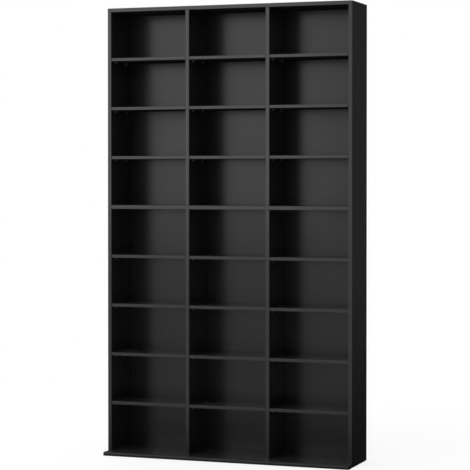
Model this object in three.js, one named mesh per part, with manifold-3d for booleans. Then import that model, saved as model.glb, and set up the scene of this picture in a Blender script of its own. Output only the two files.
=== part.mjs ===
// A tall open disc storage cabinet: three columns of nine compartments, 1.78 m high.
// No board is much longer than a metre, so the uprights come in two storeys, and a middle
// board runs right across between them. Millimetres, +Z up, the open front towards -Y.
// The origin is the middle of the footprint, at floor level.
import * as THREE from "three";
import { mergeVertices } from "three/addons/utils/BufferGeometryUtils.js";
import Module from "manifold-3d";

// Boards
const boardThickness = 15;
const boardDepth = 204;
const columnWidth = 318;
const upperStoreyHeight = 768.5;
const lowerStoreyHeight = 966.5;

// Base board: it runs out in front of the uprights and ends in a half-round nose
const baseLip = 49;
const baseCornerRadius = 3;

// Compartments, with the bottom row a little taller than the rest
const columnNames = ["left", "centre", "right"];
const upperRows = 4;
const lowerRows = 5;
const bottomRowExtra = 2.5;

// Loose shelves
const shelfThickness = 12;
const shelfSideGap = 0.8;
const shelfFrontSetback = 0.5;
const shelfBackGap = 2;

// Shelf supports, two under each end of a shelf: a plate against the upright, a flat tongue
// that the shelf rests on, and a sloping web between them
const supportLength = 9;
const supportWidth = 9;
const supportDrop = 10;
const supportPlate = 1.6;
const supportTongue = 2.2;
const supportTip = 1;
const supportWeb = 2.4;
const supportRoot = 1;
const supportFrontInset = 40;
const supportRearInset = 58;
const seatGap = 0.3;

// Back sheets: folded hardboard, one behind each storey
const backThickness = 3;
const backInset = 1;
const foldWidth = 2.4;
const foldDepth = 1.8;

// Seams between boards, and the rows of fixings in them
const seam = 0.3;
const fixingFrontInset = 45;
const fixingRearInset = 40;
const fixingGap = 0.3;

// Screws through the top board and the base board into the ends of the uprights
const screwLength = 50;
const screwHeadRadius = 5;
const screwHeadHeight = 3.5;
const screwShankRadius = 3;
const screwTipHeight = 4;
const screwTipRadius = 1.2;
const screwSink = 0.6;

// Dowels through the middle board into the uprights above and below it
const dowelRadius = 4;
const dowelReach = 20;
const dowelChamfer = 1;

// How finely round shapes are cut, and how far a cut runs past a face
const turnedSides = 8;
const noseSteps = 8;
const cornerSteps = 4;
const overrun = 2;

// Finishes
const blackFoil = new THREE.MeshStandardMaterial({ color: 0x353433, roughness: 0.55, metalness: 0 });
const blackHardboard = new THREE.MeshStandardMaterial({ color: 0x2b2a29, roughness: 0.7, metalness: 0 });
const darkSteel = new THREE.MeshStandardMaterial({ color: 0x4a4947, roughness: 0.4, metalness: 1 });
const beech = new THREE.MeshStandardMaterial({ color: 0xc79a66, roughness: 0.7, metalness: 0 });

// Whole cabinet
const uprightNames = ["left_side", "left_divider", "right_divider", "right_side"];
const uprightPitch = columnWidth + boardThickness;
const bodyWidth = columnNames.length * uprightPitch + boardThickness;
const overallDepth = baseLip + boardDepth + seam + backThickness;

// Planes that the pieces share
const leftX = -bodyWidth / 2;
const noseY = -overallDepth / 2;
const frontY = noseY + baseLip;
const rearY = frontY + boardDepth;
const middleZ = boardThickness + lowerStoreyHeight;
const middleCentreZ = middleZ + boardThickness / 2;
const topZ = middleZ + boardThickness + upperStoreyHeight;
const overallHeight = topZ + boardThickness;

const storeys = [
  { name: "upper", rows: upperRows, floor: middleZ + boardThickness, height: upperStoreyHeight, extra: 0 },
  { name: "lower", rows: lowerRows, floor: boardThickness, height: lowerStoreyHeight, extra: bottomRowExtra },
];

// Heights of the undersides of a storey's shelves, from the highest shelf down
function shelfUndersides(storey) {
  const shelfCount = storey.rows - 1;
  const rowHeight = (storey.height - shelfCount * shelfThickness - storey.extra) / storey.rows;
  const pitch = rowHeight + shelfThickness;
  return Array.from({ length: shelfCount }, (_, k) => storey.floor + storey.height - (k + 1) * pitch);
}

const wasm = await Module();
wasm.setup();

// A closed geometry as a solid that can be cut and joined
function solidOf(geometry) {
  const bare = geometry.clone();
  bare.deleteAttribute("normal");
  bare.deleteAttribute("uv");
  const merged = mergeVertices(bare);
  const vertProperties = merged.attributes.position.array;
  const triVerts = new Uint32Array(merged.index.array);
  return new wasm.Manifold(new wasm.Mesh({ numProp: 3, vertProperties, triVerts }));
}

function geometryOf(solid) {
  const mesh = solid.getMesh();
  const geometry = new THREE.BufferGeometry();
  geometry.setAttribute("position", new THREE.BufferAttribute(mesh.vertProperties, 3));
  geometry.setIndex(new THREE.BufferAttribute(mesh.triVerts, 1));
  geometry.computeVertexNormals();
  return geometry;
}

// A named piece with the lowest corner of its own frame at the given place
function piece(name, geometry, material, place) {
  const mesh = new THREE.Mesh(geometry, material);
  mesh.name = name;
  mesh.position.copy(place);
  return mesh;
}

// A plain board from its lowest corner
function block(width, depth, height) {
  return new THREE.BoxGeometry(width, depth, height).translate(width / 2, depth / 2, height / 2);
}

// Stands a shape turned about Y on end, along Z
const upright = (geometry) => geometry.rotateX(Math.PI / 2);
const upsideDown = (geometry) => geometry.rotateX(-Math.PI / 2);

// Screw with its head's top at zero and its tip below, grown by a gap where it is a cutter
function screwGeometry(gap, mouth) {
  const outline = [
    [0, -screwLength - gap],
    [screwTipRadius + gap, -screwLength - gap],
    [screwShankRadius + gap, screwTipHeight - screwLength],
    [screwShankRadius + gap, -screwHeadHeight - gap],
    [screwHeadRadius + gap, -gap],
    [screwHeadRadius + gap, mouth],
    [0, mouth],
  ];
  // The plain screw has no rim above its head, so the two points there are one
  const points = outline.filter(([r, y], i) => i === 0 || r !== outline[i - 1][0] || y !== outline[i - 1][1]);
  return new THREE.LatheGeometry(points.map(([r, y]) => new THREE.Vector2(r, y)), turnedSides);
}

// Dowel about its middle, grown by a gap where it is a cutter
function dowelGeometry(gap) {
  const half = boardThickness / 2 + dowelReach + gap;
  const radius = dowelRadius + gap;
  const outline = [
    [0, -half],
    [radius - dowelChamfer, -half],
    [radius, dowelChamfer - half],
    [radius, half - dowelChamfer],
    [radius - dowelChamfer, half],
    [0, half],
  ];
  return new THREE.LatheGeometry(outline.map(([r, y]) => new THREE.Vector2(r, y)), turnedSides);
}

// The three kinds of fixing, each with the height of its own zero
const fixingKinds = {
  top_screw: {
    height: topZ + boardThickness - screwSink,
    material: darkSteel,
    body: () => upright(screwGeometry(0, 0)),
    cutter: () => upright(screwGeometry(fixingGap, overrun)),
  },
  base_screw: {
    height: screwSink,
    material: darkSteel,
    body: () => upsideDown(screwGeometry(0, 0)),
    cutter: () => upsideDown(screwGeometry(fixingGap, overrun)),
  },
  middle_dowel: {
    height: middleCentreZ,
    material: beech,
    body: () => upright(dowelGeometry(0)),
    cutter: () => upright(dowelGeometry(fixingGap)),
  },
};

// Every upright has a fixing near its front and one near its rear at each end
const fixingRows = { front: frontY + fixingFrontInset, rear: rearY - fixingRearInset };

function fixingPlaces(kind, uprightIndex) {
  const x = leftX + uprightIndex * uprightPitch + boardThickness / 2;
  return Object.values(fixingRows).map((y) => new THREE.Vector3(x, y, fixingKinds[kind].height));
}

// Bores a solid, whose frame lies at the given place, for the fixings of the given uprights
function bored(solid, place, kinds, uprightIndices) {
  let result = solid;
  for (const kind of kinds) {
    const cutter = solidOf(fixingKinds[kind].cutter());
    for (const index of uprightIndices) {
      for (const spot of fixingPlaces(kind, index)) {
        result = result.subtract(cutter.translate(spot.clone().sub(place).toArray()));
      }
    }
  }
  return result;
}

const allUprights = uprightNames.map((_, index) => index);

// A shape in X and Z, given thickness along Y about y = 0
function slab(points, thickness) {
  const outline = new THREE.Shape(points.map(([x, z]) => new THREE.Vector2(x, z)));
  const settings = { depth: thickness, bevelEnabled: false };
  return solidOf(upright(new THREE.ExtrudeGeometry(outline, settings)).translate(0, thickness / 2, 0));
}

// Shelf support that stands out along +X from a face at x = 0, its flat top at z = 0
function supportSolid() {
  const bracket = [
    [-supportRoot, 0],
    [-supportRoot, -supportDrop],
    [supportPlate, -supportDrop],
    [supportPlate, -supportTongue],
    [supportLength, -supportTongue],
    [supportLength, 0],
  ];
  const web = [
    [0, -supportTongue / 2],
    [0, -supportDrop],
    [supportPlate, -supportDrop],
    [supportLength - supportTip, -supportTongue],
    [supportLength - supportTip, -supportTongue / 2],
  ];
  return slab(bracket, supportWidth).add(slab(web, supportWeb));
}

// An upright with the supports of the compartments beside it, bored at both ends
function uprightPiece(storey, index) {
  const place = new THREE.Vector3(leftX + index * uprightPitch, frontY, storey.floor + seam);
  let solid = solidOf(block(boardThickness, boardDepth, storey.height - 2 * seam));
  const rightSupport = supportSolid();
  const leftSupport = rightSupport.mirror([1, 0, 0]);
  for (const underside of shelfUndersides(storey)) {
    const z = underside - seatGap - place.z;
    for (const y of [supportFrontInset, boardDepth - supportRearInset]) {
      if (index < columnNames.length) solid = solid.add(rightSupport.translate([boardThickness, y, z]));
      if (index > 0) solid = solid.add(leftSupport.translate([0, y, z]));
    }
  }
  const kinds = storey.name === "upper" ? ["top_screw", "middle_dowel"] : ["middle_dowel", "base_screw"];
  const geometry = geometryOf(bored(solid, place, kinds, [index]));
  return piece(`${storey.name}_${uprightNames[index]}`, geometry, blackFoil, place);
}

// A full-width board over or under a storey
function crossBoard(name, z, kind) {
  const place = new THREE.Vector3(leftX, frontY, z);
  const solid = solidOf(block(bodyWidth, boardDepth, boardThickness));
  return piece(name, geometryOf(bored(solid, place, [kind], allUprights)), blackFoil, place);
}

// The base board: a half-round nose along the front, and slightly rounded front corners in plan
function basePiece() {
  const place = new THREE.Vector3(leftX, noseY, 0);
  const depth = baseLip + boardDepth;
  const noseRadius = boardThickness / 2;

  const side = new THREE.Shape();
  side.moveTo(noseRadius, 0);
  side.lineTo(depth, 0);
  side.lineTo(depth, boardThickness);
  side.lineTo(noseRadius, boardThickness);
  side.absarc(noseRadius, noseRadius, noseRadius, Math.PI / 2, 1.5 * Math.PI, false);
  const alongX = new THREE.Matrix4().makeBasis(
    new THREE.Vector3(0, 1, 0),
    new THREE.Vector3(0, 0, 1),
    new THREE.Vector3(1, 0, 0),
  );
  const noseSettings = { depth: bodyWidth, curveSegments: noseSteps, bevelEnabled: false };
  const nosed = new THREE.ExtrudeGeometry(side, noseSettings).applyMatrix4(alongX);

  const plan = new THREE.Shape();
  plan.moveTo(0, depth);
  plan.lineTo(0, baseCornerRadius);
  plan.absarc(baseCornerRadius, baseCornerRadius, baseCornerRadius, Math.PI, 1.5 * Math.PI, false);
  plan.absarc(bodyWidth - baseCornerRadius, baseCornerRadius, baseCornerRadius, 1.5 * Math.PI, 0, false);
  plan.lineTo(bodyWidth, depth);
  const planHeight = boardThickness + 2 * overrun;
  const planSettings = { depth: planHeight, curveSegments: cornerSteps, bevelEnabled: false };
  const cornered = new THREE.ExtrudeGeometry(plan, planSettings).translate(0, 0, -overrun);

  const solid = solidOf(nosed).intersect(solidOf(cornered));
  return piece("base_board", geometryOf(bored(solid, place, ["base_screw"], allUprights)), blackFoil, place);
}

// A hardboard sheet nailed behind a storey, with a fold line behind each divider
function backSheet(name, lowZ, highZ) {
  const width = bodyWidth - 2 * backInset;
  const outline = new THREE.Shape();
  outline.moveTo(0, 0);
  outline.lineTo(width, 0);
  outline.lineTo(width, backThickness);
  for (let index = columnNames.length - 1; index > 0; index -= 1) {
    const fold = index * uprightPitch + boardThickness / 2 - backInset;
    outline.lineTo(fold + foldWidth / 2, backThickness);
    outline.lineTo(fold, backThickness - foldDepth);
    outline.lineTo(fold - foldWidth / 2, backThickness);
  }
  outline.lineTo(0, backThickness);
  const geometry = new THREE.ExtrudeGeometry(outline, { depth: highZ - lowZ, bevelEnabled: false });
  return piece(name, geometry, blackHardboard, new THREE.Vector3(leftX + backInset, rearY + seam, lowZ));
}

// A loose shelf on its four supports
function shelfPiece(name, column, underside) {
  const width = columnWidth - 2 * shelfSideGap;
  const depth = boardDepth - shelfFrontSetback - shelfBackGap;
  const x = leftX + column * uprightPitch + boardThickness + shelfSideGap;
  const place = new THREE.Vector3(x, frontY + shelfFrontSetback, underside);
  return piece(name, block(width, depth, shelfThickness), blackFoil, place);
}

const carcase = new THREE.Group();
carcase.add(basePiece());
carcase.add(crossBoard("middle_board", middleZ, "middle_dowel"));
carcase.add(crossBoard("top_board", topZ, "top_screw"));
for (const storey of storeys) {
  for (const index of allUprights) carcase.add(uprightPiece(storey, index));
}
carcase.add(backSheet("lower_back_sheet", backInset, middleCentreZ - seam / 2));
carcase.add(backSheet("upper_back_sheet", middleCentreZ + seam / 2, overallHeight - backInset));

const fixings = new THREE.Group();
for (const kind of Object.keys(fixingKinds)) {
  for (const index of allUprights) {
    fixingPlaces(kind, index).forEach((spot, row) => {
      const name = `${kind}_${uprightNames[index]}_${Object.keys(fixingRows)[row]}`;
      fixings.add(piece(name, fixingKinds[kind].body(), fixingKinds[kind].material, spot));
    });
  }
}

const shelves = new THREE.Group();
for (const storey of storeys) {
  shelfUndersides(storey).forEach((underside, level) => {
    columnNames.forEach((columnName, column) => {
      shelves.add(shelfPiece(`${storey.name}_shelf_${columnName}_${level + 1}`, column, underside));
    });
  });
}

const cabinet = new THREE.Group();
cabinet.add(carcase, fixings, shelves);

export default cabinet;
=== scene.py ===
"""A tall open disc storage cabinet in black foil-faced board, dressed over its CAD frame."""

from math import cos, pi, radians, sin

import bmesh
import bpy
from mathutils import Matrix, Vector


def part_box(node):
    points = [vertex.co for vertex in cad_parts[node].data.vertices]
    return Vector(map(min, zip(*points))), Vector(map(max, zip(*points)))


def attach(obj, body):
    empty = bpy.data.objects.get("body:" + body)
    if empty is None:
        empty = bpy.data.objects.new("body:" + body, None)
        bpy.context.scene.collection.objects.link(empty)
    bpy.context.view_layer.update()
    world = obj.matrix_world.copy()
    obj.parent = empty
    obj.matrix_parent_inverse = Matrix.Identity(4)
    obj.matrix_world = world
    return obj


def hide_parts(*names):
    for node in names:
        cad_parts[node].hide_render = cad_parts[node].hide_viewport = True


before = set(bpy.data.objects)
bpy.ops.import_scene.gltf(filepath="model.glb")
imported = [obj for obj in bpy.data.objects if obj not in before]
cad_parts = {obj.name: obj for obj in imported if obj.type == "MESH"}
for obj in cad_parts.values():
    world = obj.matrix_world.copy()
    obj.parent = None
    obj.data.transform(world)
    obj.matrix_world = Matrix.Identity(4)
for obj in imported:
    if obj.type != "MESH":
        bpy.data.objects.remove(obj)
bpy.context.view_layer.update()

MM = 0.001
NEAR = 0.01 * MM
BODY = "cabinet"
COLUMNS = ["left", "centre", "right"]
UPRIGHTS = ["left_side", "left_divider", "right_divider", "right_side"]
SHELF_LEVELS = {"upper": 3, "lower": 4}

# Places shared by the pieces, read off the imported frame
top_lo, top_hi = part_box("top_board")
base_lo, base_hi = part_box("base_board")
board_thickness = top_hi.z - top_lo.z
front_y, rear_y = top_lo.y, top_hi.y
upright_pitch = (top_hi.x - top_lo.x - board_thickness) / len(COLUMNS)


def upright_x(index):
    """The middle of an upright, from the left."""
    return top_lo.x + board_thickness / 2 + index * upright_pitch


def linked(name, data):
    """A new object in the scene."""
    made = bpy.data.objects.new(name, data)
    bpy.context.scene.collection.objects.link(made)
    return made


# Camera: close to level, with a shifted lens, so that the uprights stay almost parallel
PHOTO_SIDE = 470
FOCAL_PIXELS = 1794.94
AXIS_ROW = 200.133
CAMERA_PLACE = (2.42676, -6.63809, 1.11628)
CAMERA_TILT = 89.2
CAMERA_AZIMUTH = 20.0472
SENSOR_WIDTH = 36

camera_data = bpy.data.cameras.new("camera")
camera_data.sensor_width = SENSOR_WIDTH
camera_data.lens = FOCAL_PIXELS * SENSOR_WIDTH / PHOTO_SIDE
camera_data.shift_y = (AXIS_ROW - PHOTO_SIDE / 2) / PHOTO_SIDE
camera = linked("camera", camera_data)
camera.location = CAMERA_PLACE
camera.rotation_euler = (radians(CAMERA_TILT), 0, radians(CAMERA_AZIMUTH))
bpy.context.scene.camera = camera
bpy.context.scene.view_settings.view_transform = "Standard"


# Materials
WHITE = (1, 1, 1, 1)
NOISE_MIDDLE = (0.3, 0.7)


def node_of(tree, kind):
    """The tree's node of a kind."""
    return next(n for n in tree.nodes if n.type == kind)


def tree_of(name):
    """A new material, its node tree and its Principled shader."""
    material = bpy.data.materials.new(name)
    material.use_nodes = True
    tree = material.node_tree
    return material, tree, node_of(tree, "BSDF_PRINCIPLED")


def add(tree, kind, inputs=None, **settings):
    """A node with its settings, and its inputs set or linked."""
    made = tree.nodes.new(kind)
    for key, value in settings.items():
        setattr(made, key, value)
    for key, value in (inputs or {}).items():
        if isinstance(value, bpy.types.NodeSocket):
            tree.links.new(value, made.inputs[key])
        else:
            made.inputs[key].default_value = value
    return made


def grey(level, warmth=0.0):
    """A grey of a linear level, a touch warmer or cooler."""
    return (level * (1 + warmth), level, level * (1 - warmth), 1)


def noise(tree, coordinates, size, detail=2.0, roughness=0.5):
    """A noise whose features are about that many metres across."""
    made = add(tree, "ShaderNodeTexNoise", {
        "Vector": coordinates, "Scale": 1 / size, "Detail": detail, "Roughness": roughness,
    })
    return made.outputs["Fac"]


def ramp(tree, value, low, high, start=0.0, end=1.0):
    """A value carried from one range to another, held at its ends."""
    made = add(tree, "ShaderNodeMapRange", {
        "Value": value, "From Min": low, "From Max": high, "To Min": start, "To Max": end,
    })
    return made.outputs["Result"]


def swing(tree, noise_value, start=0.0, end=1.0):
    """The middle of a noise's values carried to another range."""
    return ramp(tree, noise_value, *NOISE_MIDDLE, start, end)


def part_of(tree, vector, name):
    """One coordinate of a vector."""
    return add(tree, "ShaderNodeSeparateXYZ", {0: vector}).outputs[name]


def mixed(tree, factor, first, second):
    """Two colours mixed."""
    made = add(tree, "ShaderNodeMix", data_type="RGBA")
    for socket, value in ((0, factor), (6, first), (7, second)):
        if isinstance(value, bpy.types.NodeSocket):
            tree.links.new(value, made.inputs[socket])
        else:
            made.inputs[socket].default_value = value
    return made.outputs[2]


def mixed_value(tree, factor, first, second):
    """Two numbers mixed."""
    made = add(tree, "ShaderNodeMix", {0: factor, 2: first, 3: second}, data_type="FLOAT")
    return made.outputs[0]


def math(tree, operation, first, second):
    """A sum, product or other result of two numbers."""
    made = add(tree, "ShaderNodeMath", {0: first, 1: second}, operation=operation)
    return made.outputs[0]


def bumped(tree, shader, height, strength, depth):
    """Fine relief that many metres deep."""
    made = add(tree, "ShaderNodeBump", {"Height": height, "Strength": strength, "Distance": depth})
    tree.links.new(made.outputs["Normal"], shader.inputs["Normal"])


# Foil: sizes in metres, levels as linear greys
BAND_DEPTH = 1.3 * MM
HAIRLINE = 0.12 * MM
CLOUD_SIZE = 0.13
PEARL_SIZE = 0.0011
PEARL_SMOOTHNESS = 0.6
GRAIN_SIZE = 0.0006
GRAIN_DEPTH = 0.0001
GRAIN_CREST = (0.35, 0.75)
SPECK_SIZE = 0.004
SPECK_CREST = (0.74, 0.80)
SPECK_COVER = 0.12
SPECK_LEVEL = 0.2
FACES_UP = (0.6, 0.95)
# Upward faces: partly dust, partly a painted sheen
DUST_AND_SHEEN_COVER = (0.6, 0.9)
DUST_AND_SHEEN_FILM = 0.032
CLOUD_GLOSS = 0.04
GRAIN_GLOSS = 0.03
BAND_GRAIN = 0.3


def foil_material(name, level, roughness, grain, shine=0.5):
    """Black foil: a satin skin with a fine pearl texture, faint clouding and a few specks of dust.

    The front edges carry a plain band, with a hairline of glue behind it, and what faces up is
    lightened by a thin layer that is partly dust and partly a painted sheen.
    """
    material, tree, shader = tree_of(name)
    coordinates = add(tree, "ShaderNodeTexCoord")
    place = coordinates.outputs["Object"]
    upper_face = ramp(tree, part_of(tree, coordinates.outputs["Normal"], "Z"), *FACES_UP)
    depth = math(tree, "SUBTRACT", part_of(tree, place, "Y"), front_y)
    board = ramp(tree, depth, BAND_DEPTH - HAIRLINE, BAND_DEPTH)
    from_glue = math(tree, "ABSOLUTE", math(tree, "SUBTRACT", depth, BAND_DEPTH), 0)
    glue = ramp(tree, from_glue, 0, HAIRLINE, 1, 0)
    clouds = noise(tree, place, CLOUD_SIZE, detail=3)
    pearls = add(tree, "ShaderNodeTexVoronoi", {
        "Vector": place, "Scale": 1 / PEARL_SIZE, "Smoothness": PEARL_SMOOTHNESS,
    }, feature="SMOOTH_F1").outputs["Distance"]
    fine = noise(tree, place, GRAIN_SIZE)
    dust = ramp(tree, noise(tree, place, SPECK_SIZE, detail=4, roughness=0.7), *SPECK_CREST)
    colour = mixed(tree, swing(tree, clouds), grey(level * 0.9, 0.01), grey(level * 1.1, 0.02))
    crests = ramp(tree, fine, *GRAIN_CREST, 0, 0.3)
    colour = mixed(tree, crests, colour, grey(level * 1.8, 0.02))
    specks = math(tree, "MULTIPLY", dust, SPECK_COVER)
    colour = mixed(tree, specks, colour, grey(SPECK_LEVEL, 0.03))
    colour = mixed(tree, board, grey(level * 1.2, 0.01), colour)
    # Upward faces lightened: partly dust, partly a painted sheen on the tops.
    dust_and_sheen = math(tree, "MULTIPLY", upper_face, swing(tree, clouds, *DUST_AND_SHEEN_COVER))
    colour = mixed(tree, dust_and_sheen, colour, grey(DUST_AND_SHEEN_FILM, 0.02))
    tree.links.new(mixed(tree, glue, colour, grey(level * 0.3)), shader.inputs["Base Color"])
    cloud_gloss = swing(tree, clouds, -CLOUD_GLOSS, CLOUD_GLOSS)
    grain_gloss = swing(tree, fine, -GRAIN_GLOSS, GRAIN_GLOSS)
    gloss = math(tree, "ADD", math(tree, "ADD", cloud_gloss, grain_gloss), roughness)
    tree.links.new(gloss, shader.inputs["Roughness"])
    relief = math(tree, "ADD", pearls, fine)
    texture = math(tree, "MULTIPLY", relief, ramp(tree, board, 0, 1, BAND_GRAIN, 1))
    bumped(tree, shader, texture, grain, GRAIN_DEPTH)
    shader.inputs["Specular IOR Level"].default_value = shine
    return material


FOIL_LEVEL = 0.010
foil = foil_material("black_foil", FOIL_LEVEL, roughness=0.23, grain=0.45)
foil_edge = foil_material("worn_foil_edge", FOIL_LEVEL * 1.6, roughness=0.26, grain=0.3)
# A lighter copy of the foil with a duller highlight, for the forward faces of the base lip: painted
# light.
foil_nose = foil_material("nose_foil", FOIL_LEVEL * 1.2, roughness=0.45, grain=0.3, shine=0.25)

UNDERSIDE_CLOUD_SIZE = 0.09
UNDERSIDE_GRAIN_SIZE = 0.0007
UNDERSIDE_GRAIN_CREST = (0.4, 0.75)


def shaded_underside_material(name):
    """A darker, matt copy of the foil for the faces below the boards: painted shade, as the real
    boards are the same foil all round.
    """
    material, tree, shader = tree_of(name)
    place = add(tree, "ShaderNodeTexCoord").outputs["Object"]
    clouds = noise(tree, place, UNDERSIDE_CLOUD_SIZE, detail=4)
    fine = noise(tree, place, UNDERSIDE_GRAIN_SIZE)
    # Darker than the foil: painted shade below the boards.
    colour = mixed(tree, swing(tree, clouds), grey(0.006, 0.01), grey(0.009, 0.02))
    crests = ramp(tree, fine, *UNDERSIDE_GRAIN_CREST, 0, 0.4)
    tree.links.new(mixed(tree, crests, colour, grey(0.016, 0.02)), shader.inputs["Base Color"])
    tree.links.new(swing(tree, fine, 0.8, 0.95), shader.inputs["Roughness"])
    bumped(tree, shader, fine, 0.3, GRAIN_DEPTH)
    shader.inputs["Specular IOR Level"].default_value = 0.1
    return material


FACES_BACK = (0.2, 0.4)
SHEET_CLOUD_SIZE = 0.16
FIBRE_SIZE = 0.0025
FIBRE_DARK = (0.030, 0.022, 0.016, 1)
FIBRE_PALE = (0.075, 0.055, 0.040, 1)
SCREEN_SCALE = 150.0
SCREEN_DEPTH = 0.00025


def hardboard_material(name):
    """Hardboard: black and smooth inside, dark bare fibre with a screen print behind."""
    material, tree, shader = tree_of(name)
    coordinates = add(tree, "ShaderNodeTexCoord")
    place = coordinates.outputs["Object"]
    behind = ramp(tree, part_of(tree, coordinates.outputs["Normal"], "Y"), *FACES_BACK)
    clouds = noise(tree, place, SHEET_CLOUD_SIZE, detail=3)
    fibre = noise(tree, place, FIBRE_SIZE, detail=5, roughness=0.65)
    smooth_side = mixed(tree, swing(tree, clouds), grey(0.011, 0.01), grey(0.014, 0.02))
    bare_side = mixed(tree, ramp(tree, fibre, 0.3, 0.75), FIBRE_DARK, FIBRE_PALE)
    tree.links.new(mixed(tree, behind, smooth_side, bare_side), shader.inputs["Base Color"])
    waves = [
        add(tree, "ShaderNodeTexWave", {"Vector": place, "Scale": SCREEN_SCALE}, bands_direction=way)
        for way in ("X", "Z")
    ]
    print_lines = math(tree, "MULTIPLY", waves[0].outputs["Fac"], waves[1].outputs["Fac"])
    screen = math(tree, "MULTIPLY", print_lines, behind)
    front_gloss = swing(tree, clouds, 0.215, 0.265)
    roughness = mixed_value(tree, behind, front_gloss, swing(tree, fibre, 0.75, 0.9))
    tree.links.new(roughness, shader.inputs["Roughness"])
    fibre_relief = math(tree, "MULTIPLY", fibre, mixed_value(tree, behind, 0.12, 0.6))
    grain = math(tree, "ADD", screen, fibre_relief)
    bumped(tree, shader, grain, 0.4, SCREEN_DEPTH)
    shader.inputs["Specular IOR Level"].default_value = 0.4
    return material


MARK_SIZE = 0.0008


def steel_material(name):
    """Blackened steel with fine turning marks."""
    material, tree, shader = tree_of(name)
    place = add(tree, "ShaderNodeTexCoord").outputs["Object"]
    marks = noise(tree, place, MARK_SIZE, detail=4)
    colour = mixed(tree, swing(tree, marks), grey(0.10, 0.03), grey(0.19, 0.03))
    tree.links.new(colour, shader.inputs["Base Color"])
    tree.links.new(swing(tree, marks, 0.3, 0.5), shader.inputs["Roughness"])
    bumped(tree, shader, marks, 0.2, GRAIN_DEPTH)
    shader.inputs["Metallic"].default_value = 1
    return material


FLECK_SIZE = 0.0004
BEECH_STRETCH = (1, 1, 0.08)
BEECH_DARK = (0.50, 0.30, 0.14, 1)
BEECH_PALE = (0.64, 0.42, 0.22, 1)
BEECH_FLECK = (0.25, 0.13, 0.05, 1)


def beech_material(name):
    """Pale beech with long fibres and short dark flecks along Z."""
    material, tree, shader = tree_of(name)
    place = add(tree, "ShaderNodeTexCoord").outputs["Object"]
    stretched = add(tree, "ShaderNodeVectorMath", {0: place, 1: BEECH_STRETCH}, operation="MULTIPLY")
    along = stretched.outputs[0]
    fibres = noise(tree, along, MARK_SIZE, detail=4)
    flecks = math(tree, "MULTIPLY", ramp(tree, noise(tree, along, FLECK_SIZE), 0.62, 0.7), 0.5)
    colour = mixed(tree, flecks, mixed(tree, fibres, BEECH_DARK, BEECH_PALE), BEECH_FLECK)
    tree.links.new(colour, shader.inputs["Base Color"])
    tree.links.new(swing(tree, fibres, 0.6, 0.75), shader.inputs["Roughness"])
    bumped(tree, shader, fibres, 0.2, 0.0002)
    return material


SKIN_SIZE = 0.0004


def plastic_material(name):
    """Black moulded plastic with a soft matt skin."""
    material, tree, shader = tree_of(name)
    place = add(tree, "ShaderNodeTexCoord").outputs["Object"]
    skin = noise(tree, place, SKIN_SIZE)
    tree.links.new(mixed(tree, skin, grey(0.055), grey(0.075)), shader.inputs["Base Color"])
    tree.links.new(swing(tree, skin, 0.38, 0.5), shader.inputs["Roughness"])
    bumped(tree, shader, skin, 0.15, 0.00005)
    return material


shaded_underside = shaded_underside_material("painted_shade_underside")
hardboard = hardboard_material("black_hardboard")
steel = steel_material("dark_steel")
beech = beech_material("beech")
plastic = plastic_material("black_plastic")


def plain_mesh(bm, name):
    """A finished mesh."""
    mesh = bpy.data.meshes.new(name)
    bm.to_mesh(mesh)
    bm.free()
    return mesh


def mesh_of(bm, name):
    """A finished mesh, all of it shaded smoothly."""
    for face in bm.faces:
        face.smooth = True
    bm.normal_update()
    return plain_mesh(bm, name)


def placed(mesh, name, materials, nodes=(), matrix=None, body=BODY):
    """A piece of the cabinet, in its place, that stands for the given CAD nodes."""
    made = linked(name, mesh)
    if matrix is not None:
        made.matrix_world = matrix
    if not mesh.materials:
        for material in materials:
            mesh.materials.append(material)
    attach(made, body)
    if nodes:
        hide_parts(*nodes)
    return made


def even_normals(piece):
    """Flat faces stay flat, and the rounded edges between them shade smoothly."""
    modifier = piece.modifiers.new("normals", "WEIGHTED_NORMAL")
    modifier.weight = 100


def eased(piece, width):
    """Breaks the sharp edges of a piece."""
    weld = piece.modifiers.new("weld", "WELD")
    weld.merge_threshold = NEAR
    bevel = piece.modifiers.new("eased_edges", "BEVEL")
    bevel.width = width
    bevel.segments = 1
    bevel.limit_method = "ANGLE"
    bevel.angle_limit = radians(35)
    even_normals(piece)


BAND_RADIUS = 1.0 * MM
CUT_EDGE = 0.35 * MM
BAND_STEPS, CUT_STEPS = 4, 2
EDGED, THIRD = 1, 2
FACES_DOWN = -0.99


def box_shape(lo, hi):
    """A box between two corners."""
    bm = bmesh.new()
    bmesh.ops.create_cube(bm, size=1)
    bmesh.ops.scale(bm, vec=hi - lo, verts=bm.verts)
    bmesh.ops.translate(bm, vec=(hi + lo) / 2, verts=bm.verts)
    return bm


def rounded(bm, edges, radius, segments, material=None):
    """Rounds some edges of a mesh, and gives the new faces a material."""
    made = bmesh.ops.bevel(
        bm, geom=edges, offset=radius, segments=segments, profile=0.5, affect="EDGES",
    )
    if material is not None:
        for face in made["faces"]:
            face.material_index = material


def sharp_edges(bm, angle=40):
    """The edges whose faces turn by more than that many degrees."""
    return [e for e in bm.edges if e.is_manifold and e.calc_face_angle() > radians(angle)]


def board_shape(lo, hi, long_axis):
    """A board with rounded long front edges and finely eased other edges."""
    bm = box_shape(lo, hi)
    middle = (hi + lo) / 2
    front = [e for e in bm.edges
             if all(v.co.y < middle.y for v in e.verts)
             and abs(e.verts[0].co[long_axis] - e.verts[1].co[long_axis]) > CUT_EDGE]
    rounded(bm, front, BAND_RADIUS, BAND_STEPS, EDGED)
    rounded(bm, sharp_edges(bm), CUT_EDGE, CUT_STEPS, EDGED)
    return bm


def painted_shade_below(bm):
    """A board whose face below takes the third material, the darker matt copy of the foil: painted
    shade.
    """
    bm.normal_update()
    for face in bm.faces:
        if face.material_index == 0 and face.normal.z < FACES_DOWN:
            face.material_index = THIRD
    return bm


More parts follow.
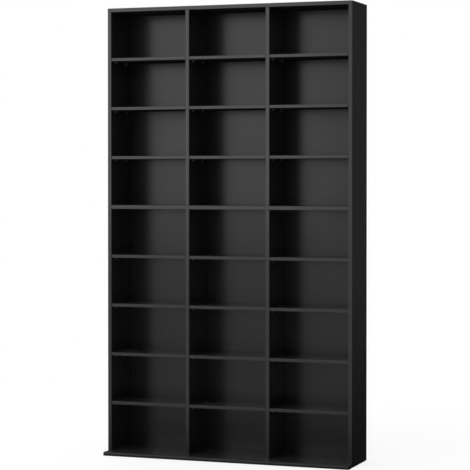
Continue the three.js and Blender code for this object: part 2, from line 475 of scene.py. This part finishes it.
def turned_shape(outline, sides, radius_at=None):
    """A closed shape turned about Z from (radius, height) points, its two ends on the axis."""
    bm = bmesh.new()
    rings = []
    for radius, height in outline:
        if not radius:
            rings.append([bm.verts.new((0, 0, height))])
            continue
        ring = []
        for k in range(sides):
            angle = 2 * pi * k / sides
            r = radius_at(radius, height, angle) if radius_at else radius
            ring.append(bm.verts.new((r * cos(angle), r * sin(angle), height)))
        rings.append(ring)
    for low, high in zip(rings, rings[1:]):
        for k in range(sides):
            below = [low[n % len(low)] for n in (k, k + 1)]
            above = [high[n % len(high)] for n in (k + 1, k)]
            bm.faces.new(list(dict.fromkeys(below + above)))
    bmesh.ops.recalc_face_normals(bm, faces=bm.faces)
    return bm


def carved(bm, name, cutters, operation="DIFFERENCE"):
    """The mesh with other meshes cut out of it, or kept only within them."""
    work = linked(name, mesh_of(bm, name))
    helpers = []
    for mesh, matrix in cutters:
        helper = linked("cutter", mesh)
        helper.matrix_world = matrix
        helpers.append(helper)
        modifier = work.modifiers.new("cut", "BOOLEAN")
        modifier.operation = operation
        modifier.solver = "EXACT"
        modifier.object = helper
    bpy.context.view_layer.update()
    evaluated = work.evaluated_get(bpy.context.evaluated_depsgraph_get())
    result = bpy.data.meshes.new_from_object(evaluated)
    result.name = name
    for extra in (work, *helpers):
        bpy.data.objects.remove(extra)
    return result


# Fixings, in the bores that the frame has for them
SCREW_LENGTH = 50 * MM
HEAD_RADIUS = 5 * MM
HEAD_HEIGHT = 3.5 * MM
HEAD_RIM = 0.4 * MM
HEAD_EASE = 0.15 * MM
SHANK_RADIUS = 3 * MM
NECK_RADIUS = SHANK_RADIUS - 0.2 * MM
NECK_LENGTH = 8 * MM
TIP_RADIUS = 1.2 * MM
TIP_CONE = 3 * MM
TIP_LENGTH = 4 * MM
SCREW_SINK = 0.6 * MM
BORE_GAP = 0.3 * MM
MOUTH_FLARE = 0.2 * MM
SOCKET_APOTHEM = 2.0 * MM
SOCKET_DEPTH = 2.4 * MM
SOCKET_CONE = 0.8 * MM
THREAD_PITCH = 3.0 * MM
THREAD_DEPTH = 0.8 * MM
THREAD_STEEPNESS = 1.6
THREAD_RINGS = 6
DOWEL_RADIUS = 3.9 * MM
DOWEL_CHAMFER = 1 * MM
DOWEL_SIDES = 48
FLUTES = 16
FLUTE_DEPTH = 0.12 * MM
ROUND_SIDES = 36


def hexagon_radius(angle):
    """How far a hexagon's edge is from its middle at an angle."""
    sixth = pi / 3
    return SOCKET_APOTHEM / cos(angle % sixth - sixth / 2)


def screw_shape():
    """A countersunk screw with a hexagon socket and a coarse thread, its head's top at zero."""
    tip = -SCREW_LENGTH
    thread_low = tip + TIP_LENGTH
    thread_top = -HEAD_HEIGHT - NECK_LENGTH
    step = THREAD_PITCH / THREAD_RINGS
    count = int((thread_top - tip - TIP_LENGTH) / step)
    outline = [(0, tip), (TIP_RADIUS, tip), (SHANK_RADIUS - THREAD_DEPTH, tip + TIP_CONE)]
    outline += [(SHANK_RADIUS, thread_low + k * step) for k in range(count)]
    outline += [(NECK_RADIUS, thread_top), (NECK_RADIUS, -HEAD_HEIGHT)]
    outline += [(HEAD_RADIUS, -HEAD_RIM), (HEAD_RADIUS, -HEAD_EASE), (HEAD_RADIUS - HEAD_EASE, 0)]
    outline += [(SOCKET_APOTHEM, 0), (SOCKET_APOTHEM, -SOCKET_DEPTH)]
    outline += [(0, -SOCKET_DEPTH - SOCKET_CONE)]

    def radius_at(radius, height, angle):
        if radius == SOCKET_APOTHEM:
            return hexagon_radius(angle)
        if radius == SHANK_RADIUS and thread_low <= height < thread_top:
            phase = (height / THREAD_PITCH - angle / (2 * pi)) % 1
            return SHANK_RADIUS - THREAD_DEPTH * min(1, abs(2 * phase - 1) * THREAD_STEEPNESS)
        return radius

    return turned_shape(outline, ROUND_SIDES, radius_at)


def bore_shape():
    """What a screw's bore takes away, its mouth opened a touch at the surface, at SCREW_SINK."""
    mouth, shank = HEAD_RADIUS + BORE_GAP, SHANK_RADIUS + BORE_GAP
    bottom = -SCREW_LENGTH - BORE_GAP
    outline = [(0, bottom), (shank, bottom), (shank, -HEAD_HEIGHT - BORE_GAP), (mouth, -BORE_GAP)]
    outline += [(mouth, SCREW_SINK - MOUTH_FLARE), (mouth + 2 * MOUTH_FLARE, SCREW_SINK + MOUTH_FLARE)]
    outline += [(0, SCREW_SINK + MOUTH_FLARE)]
    return turned_shape(outline, ROUND_SIDES)


def dowel_shape(half_length):
    """A fluted dowel with chamfered ends, about its middle."""
    end_radius, shoulder = DOWEL_RADIUS - DOWEL_CHAMFER, half_length - DOWEL_CHAMFER
    outline = [(0, -half_length), (end_radius, -half_length), (DOWEL_RADIUS, -shoulder)]
    outline += [(DOWEL_RADIUS, shoulder), (end_radius, half_length), (0, half_length)]

    def radius_at(radius, height, angle):
        flute = FLUTE_DEPTH * (1 + cos(angle * FLUTES)) / 2
        return radius - flute if radius == DOWEL_RADIUS else radius

    return turned_shape(outline, DOWEL_SIDES, radius_at)


def centre_of(node):
    """The middle of a node's box."""
    lo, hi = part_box(node)
    return (lo + hi) / 2


FIXING_ROWS = ["front", "rear"]
FLIPPED = Matrix.Rotation(pi, 4, "X")
screw_mesh = mesh_of(screw_shape(), "screw")
bore_mesh = mesh_of(bore_shape(), "bore")
screw_bores = {"top_screw": [], "base_screw": []}

for kind in screw_bores:
    for upright in UPRIGHTS:
        for row in FIXING_ROWS:
            node = f"{kind}_{upright}_{row}"
            lo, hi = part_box(node)
            middle = centre_of(node)
            head_z = hi.z if kind == "top_screw" else lo.z
            turn = Matrix.Identity(4) if kind == "top_screw" else FLIPPED
            matrix = Matrix.Translation((middle.x, middle.y, head_z)) @ turn
            screw_bores[kind].append((upright, matrix))
            even_normals(placed(screw_mesh, f"{node}_turned", [steel], [node], matrix))

dowel_lo, dowel_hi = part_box("middle_dowel_left_side_front")
dowel_half = (dowel_hi.z - dowel_lo.z) / 2
dowel_mesh = mesh_of(dowel_shape(dowel_half), "dowel")
dowel_bores = []
hole_radius, hole_half = DOWEL_RADIUS + BORE_GAP, dowel_half + BORE_GAP
hole_outline = [(0, -hole_half), (hole_radius, -hole_half), (hole_radius, hole_half), (0, hole_half)]
dowel_hole = mesh_of(turned_shape(hole_outline, ROUND_SIDES), "dowel_hole")
for upright in UPRIGHTS:
    for row in FIXING_ROWS:
        node = f"middle_dowel_{upright}_{row}"
        matrix = Matrix.Translation(centre_of(node))
        dowel_bores.append((upright, matrix))
        placed(dowel_mesh, f"{node}_fluted", [beech], [node], matrix)

# Uprights
for storey, screw_kind in (("upper", "top_screw"), ("lower", "base_screw")):
    for index, upright in enumerate(UPRIGHTS):
        node = f"{storey}_{upright}"
        node_lo, node_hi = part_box(node)
        half = board_thickness / 2
        lo = Vector((upright_x(index) - half, front_y, node_lo.z))
        hi = Vector((upright_x(index) + half, rear_y, node_hi.z))
        cutters = [(bore_mesh, m) for name, m in screw_bores[screw_kind] if name == upright]
        cutters += [(dowel_hole, m) for name, m in dowel_bores if name == upright]
        mesh = carved(board_shape(lo, hi, 2), f"{node}_panel", cutters)
        even_normals(placed(mesh, f"{node}_panel", [foil, foil_edge], [node]))

# Top board and middle board
# The third material darkens the faces below the boards: painted shade.
BACKED = [foil, foil_edge, shaded_underside]
cross_boards = {
    "top_board": (bore_mesh, screw_bores["top_screw"]),
    "middle_board": (dowel_hole, dowel_bores),
}
for node, (bore, bores) in cross_boards.items():
    shape = painted_shade_below(board_shape(*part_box(node), 0))
    mesh = carved(shape, f"{node}_panel", [(bore, matrix) for _, matrix in bores])
    even_normals(placed(mesh, f"{node}_panel", BACKED, [node]))

# Loose shelves
for storey, levels in SHELF_LEVELS.items():
    for column_name in COLUMNS:
        for level in range(1, levels + 1):
            node = f"{storey}_shelf_{column_name}_{level}"
            mesh = mesh_of(painted_shade_below(board_shape(*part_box(node), 0)), f"{node}_panel")
            even_normals(placed(mesh, f"{node}_panel", BACKED, [node], body=node))

# Base board: a half-round nose along the front, and small rounded corners in plan
NOSE_STEPS = 24
CORNER_STEPS = 8
CORNER_RADIUS = 3 * MM
FINE_EDGE = 0.1 * MM
MITRE_ANGLE = 50
WELD_GAP = 0.005 * MM
FACES_FRONT = -0.1
SPARE = 2 * MM


def prism_shape(points, axis, start, end):
    """A flat outline, given as (first, second) points across an axis, carried along that axis."""
    others = [k for k in range(3) if k != axis]
    bm = bmesh.new()
    rings = []
    for place in (start, end):
        ring = []
        for first, second in points:
            co = Vector((0, 0, 0))
            co[axis], co[others[0]], co[others[1]] = place, first, second
            ring.append(bm.verts.new(co))
        rings.append(ring)
        bm.faces.new(ring)
    count = len(points)
    for k in range(count):
        bm.faces.new([rings[0][k], rings[0][(k + 1) % count], rings[1][(k + 1) % count], rings[1][k]])
    bmesh.ops.recalc_face_normals(bm, faces=bm.faces)
    return bm


def arc(centre, radius, start, end, steps):
    """Points round an arc, with angles in turns of pi."""
    angles = [pi * (start + (end - start) * k / steps) for k in range(steps + 1)]
    return [(centre[0] + radius * cos(a), centre[1] + radius * sin(a)) for a in angles]


nose_radius = (base_hi.z - base_lo.z) / 2
nose_centre = (base_lo.y + nose_radius, base_lo.z + nose_radius)
side_outline = arc(nose_centre, nose_radius, 0.5, 1.5, NOSE_STEPS)
side_outline += [(base_hi.y, base_lo.z), (base_hi.y, base_hi.z)]
corner_y = base_lo.y + CORNER_RADIUS
plan_outline = arc((base_lo.x + CORNER_RADIUS, corner_y), CORNER_RADIUS, 1, 1.5, CORNER_STEPS)
plan_outline += arc((base_hi.x - CORNER_RADIUS, corner_y), CORNER_RADIUS, 1.5, 2, CORNER_STEPS)
plan_outline += [(base_hi.x, base_hi.y + SPARE), (base_lo.x, base_hi.y + SPARE)]
plan_mesh = mesh_of(prism_shape(plan_outline, 2, base_lo.z - SPARE, base_hi.z + SPARE), "plan")
nosed = prism_shape(side_outline, 0, base_lo.x - SPARE, base_hi.x + SPARE)
mesh = carved(nosed, "base_board_nosed", [(plan_mesh, Matrix.Identity(4))], "INTERSECT")
bm = bmesh.new()
bm.from_mesh(mesh)
bmesh.ops.remove_doubles(bm, verts=bm.verts, dist=WELD_GAP)
rounded(bm, sharp_edges(bm, MITRE_ANGLE), FINE_EDGE, 1, EDGED)
# Forward faces take the lighter, duller copy of the foil: painted light on the lip.
for face in bm.faces:
    if face.material_index == 0 and face.normal.y < FACES_FRONT:
        face.material_index = THIRD
mesh = carved(bm, "base_board_nosed", [(bore_mesh, m) for _, m in screw_bores["base_screw"]])
NOSED = [foil, foil_edge, foil_nose]
even_normals(placed(mesh, "base_board_nosed", NOSED, ["base_board"]))

# Shelf supports: a plate against the upright, a flat tongue under the shelf, and a web between
SUPPORT_LENGTH = 9 * MM
SUPPORT_WIDTH = 9 * MM
SUPPORT_DROP = 10 * MM
PLATE = 1.6 * MM
TONGUE = 2.2 * MM
WEB = 2.4 * MM
SEAT_GAP = 0.3 * MM
SUPPORT_INSETS = {"front": 40 * MM, "rear": 58 * MM}
SUPPORT_FILLET = 1.4 * MM
SUPPORT_CORNER = 1.8 * MM
SUPPORT_EASE = 0.3 * MM
WEB_SETBACK = 1 * MM
WEB_FOOT = 0.6 * MM
WEB_BOW = 0.5 * MM
WEB_EASE = 0.2 * MM
WEB_STEPS = 6


def slab_shape(points, thickness):
    """A flat outline of (x, z) points given a thickness along Y."""
    return prism_shape(points, 1, -thickness / 2, thickness / 2)


def support_shape():
    """A shelf support that stands out along X from a face at zero, its flat top at zero."""
    fillet = SUPPORT_FILLET
    bracket = [(0, 0), (0, -SUPPORT_DROP), (PLATE, -SUPPORT_DROP)]
    bracket += arc((PLATE + fillet, -TONGUE - fillet), fillet, 1, 0.5, 4)
    bracket += [(SUPPORT_LENGTH, -TONGUE), (SUPPORT_LENGTH, 0)]
    bm = slab_shape(bracket, SUPPORT_WIDTH)
    half = SUPPORT_WIDTH / 2

    def corner_edges(axis, place):
        """The edges on the two sides that lie wholly at a place along an axis."""
        return [e for e in bm.edges if all(
            abs(abs(v.co.y) - half) < NEAR and abs(v.co[axis] - place) < NEAR for v in e.verts
        )]

    corners = corner_edges(2, -SUPPORT_DROP) + corner_edges(0, SUPPORT_LENGTH)
    rounded(bm, corners, SUPPORT_CORNER, 5)
    rounded(bm, sharp_edges(bm), SUPPORT_EASE, CUT_STEPS)
    reach = SUPPORT_LENGTH - WEB_SETBACK
    foot_z = WEB_FOOT - SUPPORT_DROP
    slope = [(PLATE / 2, -TONGUE / 2), (PLATE / 2, foot_z), (PLATE, foot_z)]
    for k in range(1, WEB_STEPS):
        share = k / WEB_STEPS
        bow = WEB_BOW * sin(pi * share)
        x = PLATE + (reach - PLATE) * share - bow
        z = -SUPPORT_DROP + (SUPPORT_DROP - TONGUE) * share + bow
        slope.append((x, z))
    slope += [(reach, -TONGUE), (reach, -TONGUE / 2)]
    web = slab_shape(slope, WEB)
    rounded(web, sharp_edges(web, 60), WEB_EASE, CUT_STEPS)
    web_mesh = mesh_of(web, "web")
    bm.from_mesh(web_mesh)
    bpy.data.meshes.remove(web_mesh)
    return bm


support_mesh = mesh_of(support_shape(), "shelf_support")
TURNED = Matrix.Rotation(pi, 4, "Z")

for storey, levels in SHELF_LEVELS.items():
    for column, column_name in enumerate(COLUMNS):
        for level in range(1, levels + 1):
            shelf_lo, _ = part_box(f"{storey}_shelf_{column_name}_{level}")
            for end in ("left", "right"):
                side = board_thickness / 2 if end == "left" else -board_thickness / 2
                x = upright_x(column + (end == "right")) + side
                turn = Matrix.Identity(4) if end == "left" else TURNED
                for row, inset in SUPPORT_INSETS.items():
                    y = front_y + inset if row == "front" else rear_y - inset
                    matrix = Matrix.Translation((x, y, shelf_lo.z - SEAT_GAP)) @ turn
                    name = f"{storey}_support_{column_name}_{level}_{end}_{row}"
                    even_normals(placed(support_mesh, name, [plastic], matrix=matrix))

# Nails in the back sheets
NAIL_RADIUS = 2.2 * MM
NAIL_RISE = 0.5 * MM
NAIL_SINK = 0.3 * MM
NAIL_SIDES = 16
NAIL_PITCH = 128 * MM
NAIL_BESIDE_FOLD = 5 * MM


def nail_shape():
    """A low domed head, sunk a little way into the sheet at zero."""
    outline = [(0, -NAIL_SINK), (NAIL_RADIUS, -NAIL_SINK), (NAIL_RADIUS, 0.25 * MM)]
    outline += [(NAIL_RADIUS * 0.86, 0.42 * MM), (NAIL_RADIUS * 0.5, NAIL_RISE)]
    outline += [(0, NAIL_RISE * 1.02)]
    return turned_shape(outline, NAIL_SIDES)


def spread(start, end, pitch):
    """Places from start to end, evenly apart, at about that pitch."""
    count = max(1, round((end - start) / pitch))
    return [start + (end - start) * k / count for k in range(count + 1)]


def nail_places(sheet):
    """Along the edges of a sheet, and beside the folds behind the dividers."""
    lo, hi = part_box(sheet)
    edge = board_thickness / 2
    low_z, high_z = lo.z + edge, hi.z - edge
    places = [(x, z) for z in (low_z, high_z) for x in spread(upright_x(0), upright_x(3), NAIL_PITCH)]
    for index in range(len(UPRIGHTS)):
        beside = NAIL_BESIDE_FOLD if index in (1, 2) else 0
        for k, z in enumerate(spread(low_z, high_z, NAIL_PITCH)[1:-1]):
            places.append((upright_x(index) + beside * (-1) ** k, z))
    return places, hi.y


nail_turn = Matrix.Rotation(-pi / 2, 4, "X")
nail_mesh = mesh_of(nail_shape(), "nail")
BACK_SHEETS = ["upper_back_sheet", "lower_back_sheet"]
for sheet in BACK_SHEETS:
    places, face_y = nail_places(sheet)
    bm = bmesh.new()
    for x, z in places:
        before = len(bm.verts)
        bm.from_mesh(nail_mesh)
        bm.verts.ensure_lookup_table()
        matrix = Matrix.Translation((x, face_y, z)) @ nail_turn
        bmesh.ops.transform(bm, matrix=matrix, verts=bm.verts[before:])
    name = sheet.replace("sheet", "nails")
    even_normals(placed(mesh_of(bm, name), name, [steel]))

# The back sheets keep their CAD shape
SHEET_EASE = 0.15 * MM
for sheet in BACK_SHEETS:
    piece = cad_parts[sheet]
    piece.data.materials.clear()
    piece.data.materials.append(hardboard)
    eased(piece, SHEET_EASE)

# Light, floor and background
WORLD_LIGHT = 0.5

# Each lamp: its place, what it faces, its width and height, and its level, where 1 looks white.
# The softbox stands where the front faces mirror it, and a wide panel shines from above.
LAMPS = {
    "softbox": ((-2.0, -3.07, 2.1), (-2.0, 0, 2.1), (3.0, 2.5), 1.03),
    "overhead": ((-1.0, -1.5, 4.2), (-1.0, -1.5, 0.0), (5.0, 5.0), 0.8),
    "rear_fill": ((-2.6, 3.6, 2.6), (0, 0, 0.9), (2.0, 2.0), 3.0),
}

for name, (place, target, (width, height), level) in LAMPS.items():
    data = bpy.data.lights.new(name, "AREA")
    data.shape = "RECTANGLE"
    data.size, data.size_y = width, height
    data.energy = level * pi * width * height
    lamp = linked(name, data)
    lamp.location = place
    aim = Vector(target) - Vector(place)
    lamp.rotation_euler = aim.to_track_quat("-Z", "Y").to_euler()
    lamp.visible_camera = False


def shown_to_camera(tree):
    """1 for the rays that show a background, and 0 for those that carry its light."""
    path = add(tree, "ShaderNodeLightPath")
    seen = math(tree, "MAXIMUM", path.outputs["Is Camera Ray"], path.outputs["Is Glossy Ray"])
    return math(tree, "MAXIMUM", seen, path.outputs["Is Transmission Ray"])


world = bpy.data.worlds.new("studio")
world.use_nodes = True
bpy.context.scene.world = world
tree = world.node_tree
background = node_of(tree, "BACKGROUND")
background.inputs["Color"].default_value = WHITE
strength = ramp(tree, shown_to_camera(tree), 0, 1, WORLD_LIGHT, 1.0)
tree.links.new(strength, background.inputs["Strength"])

# Dark cards, mirrored in the sides of the cabinet, the ends of its base lip and the left of
# each compartment: a little brighter towards the top
CARD_LEVELS = (0.012, 0.058)
CARD_FADE = 0.7
CARD_RISE = 0.001
SIDE_CARD_GAP = 0.001
SIDE_CARD_WIDTH = 2.7
SIDE_CARD_TOP = 3.1
SIDE_CARD_Y = 0.45
SIDE_CARD_FOOT_Y = -0.3
FRONT_CARD_LEFT, FRONT_CARD_RIGHT = 0.9, 4.6
FRONT_CARD_Y = -7.8
FRONT_CARD_TOP = 3.2


def only_mirrored(piece):
    """Makes a piece show in reflections alone, and cast no shadow."""
    for ray in ("camera", "diffuse", "transmission", "volume_scatter", "shadow"):
        setattr(piece, f"visible_{ray}", False)


def glow_of(tree, strength):
    """A white glow."""
    return add(tree, "ShaderNodeEmission", {"Color": WHITE, "Strength": strength}).outputs[0]


def surface(tree, shader_output):
    """Makes a shader the material's surface."""
    tree.links.new(shader_output, node_of(tree, "OUTPUT_MATERIAL").inputs["Surface"])


def card_material():
    """A dim glow that grows with height."""
    material, tree, _ = tree_of("dark_card")
    height = part_of(tree, add(tree, "ShaderNodeTexCoord").outputs["Object"], "Z")
    surface(tree, glow_of(tree, ramp(tree, height, 0, CARD_FADE, *CARD_LEVELS)))
    return material


def dark_card(name, left, right, profile):
    """A card from left to right along a profile of (y, z) points."""
    bm = bmesh.new()
    rows = [[bm.verts.new((x, y, z)) for x in (left, right)] for y, z in profile]
    for low, high in zip(rows, rows[1:]):
        bm.faces.new([low[0], low[1], high[1], high[0]])
    card = linked(name, plain_mesh(bm, name))
    card.data.materials.append(card_paint)
    only_mirrored(card)


card_paint = card_material()
side_x = top_hi.x + SIDE_CARD_GAP
standing = [(SIDE_CARD_Y, CARD_RISE), (SIDE_CARD_Y, SIDE_CARD_TOP)]
footed = [(SIDE_CARD_FOOT_Y, CARD_RISE), *standing]
fronting = [(FRONT_CARD_Y, CARD_RISE), (FRONT_CARD_Y, FRONT_CARD_TOP)]
dark_card("right_card", side_x, side_x + SIDE_CARD_WIDTH, footed)
dark_card("left_card", -side_x - SIDE_CARD_WIDTH, -side_x, standing)
dark_card("front_card", FRONT_CARD_LEFT, FRONT_CARD_RIGHT, fronting)

FLOOR_RADIUS = 6.0
FLOOR_SIDES = 96
FLOOR_DROP = 0.0005
FLOOR_LEVEL = 0.65
FLOOR_ROUGHNESS = 0.9
FLOOR_LIFT = 0.5
FLOOR_GLOW = 0.2
FLOOR_SHADE = 0.2
SHADOW_REACH = (0.9, 2.0)
SHADOW_SHARE = 0.35
MIRRORED_REACH = (0.5, 1.6)


def floor_material():
    """White near the object, with the object's soft shadow, and pure white further out."""
    material, tree, shader = tree_of("pale_floor")
    shader.inputs["Base Color"].default_value = grey(FLOOR_LEVEL)
    shader.inputs["Roughness"].default_value = FLOOR_ROUGHNESS
    shader.inputs["Specular IOR Level"].default_value = 0
    lit = shader.outputs[0]

    def both(first, second):
        """Two shaders added up."""
        return add(tree, "ShaderNodeAddShader", {0: first, 1: second}).outputs[0]

    def between(factor, first, second):
        """Two shaders mixed."""
        return add(tree, "ShaderNodeMixShader", {0: factor, 1: first, 2: second}).outputs[0]

    place = add(tree, "ShaderNodeTexCoord").outputs["Object"]
    away = add(tree, "ShaderNodeVectorMath", {0: place}, operation="LENGTH").outputs["Value"]
    shadow = ramp(tree, away, *SHADOW_REACH, SHADOW_SHARE, 0.0)
    seen = between(shadow, glow_of(tree, 1.0), both(lit, glow_of(tree, FLOOR_LIFT)))
    clear = both(lit, glow_of(tree, FLOOR_GLOW))
    # In reflections the floor near the object is only a dim glow: a painted shadow.
    mirrored = between(ramp(tree, away, *MIRRORED_REACH), glow_of(tree, FLOOR_SHADE), clear)
    path = add(tree, "ShaderNodeLightPath")
    unseen = between(path.outputs["Is Glossy Ray"], lit, mirrored)
    surface(tree, between(path.outputs["Is Camera Ray"], unseen, seen))
    return material


bm = bmesh.new()
bmesh.ops.create_circle(bm, cap_ends=True, radius=FLOOR_RADIUS, segments=FLOOR_SIDES)
floor = linked("floor", plain_mesh(bm, "floor"))
floor.location.z = -FLOOR_DROP
floor.data.materials.append(floor_material())
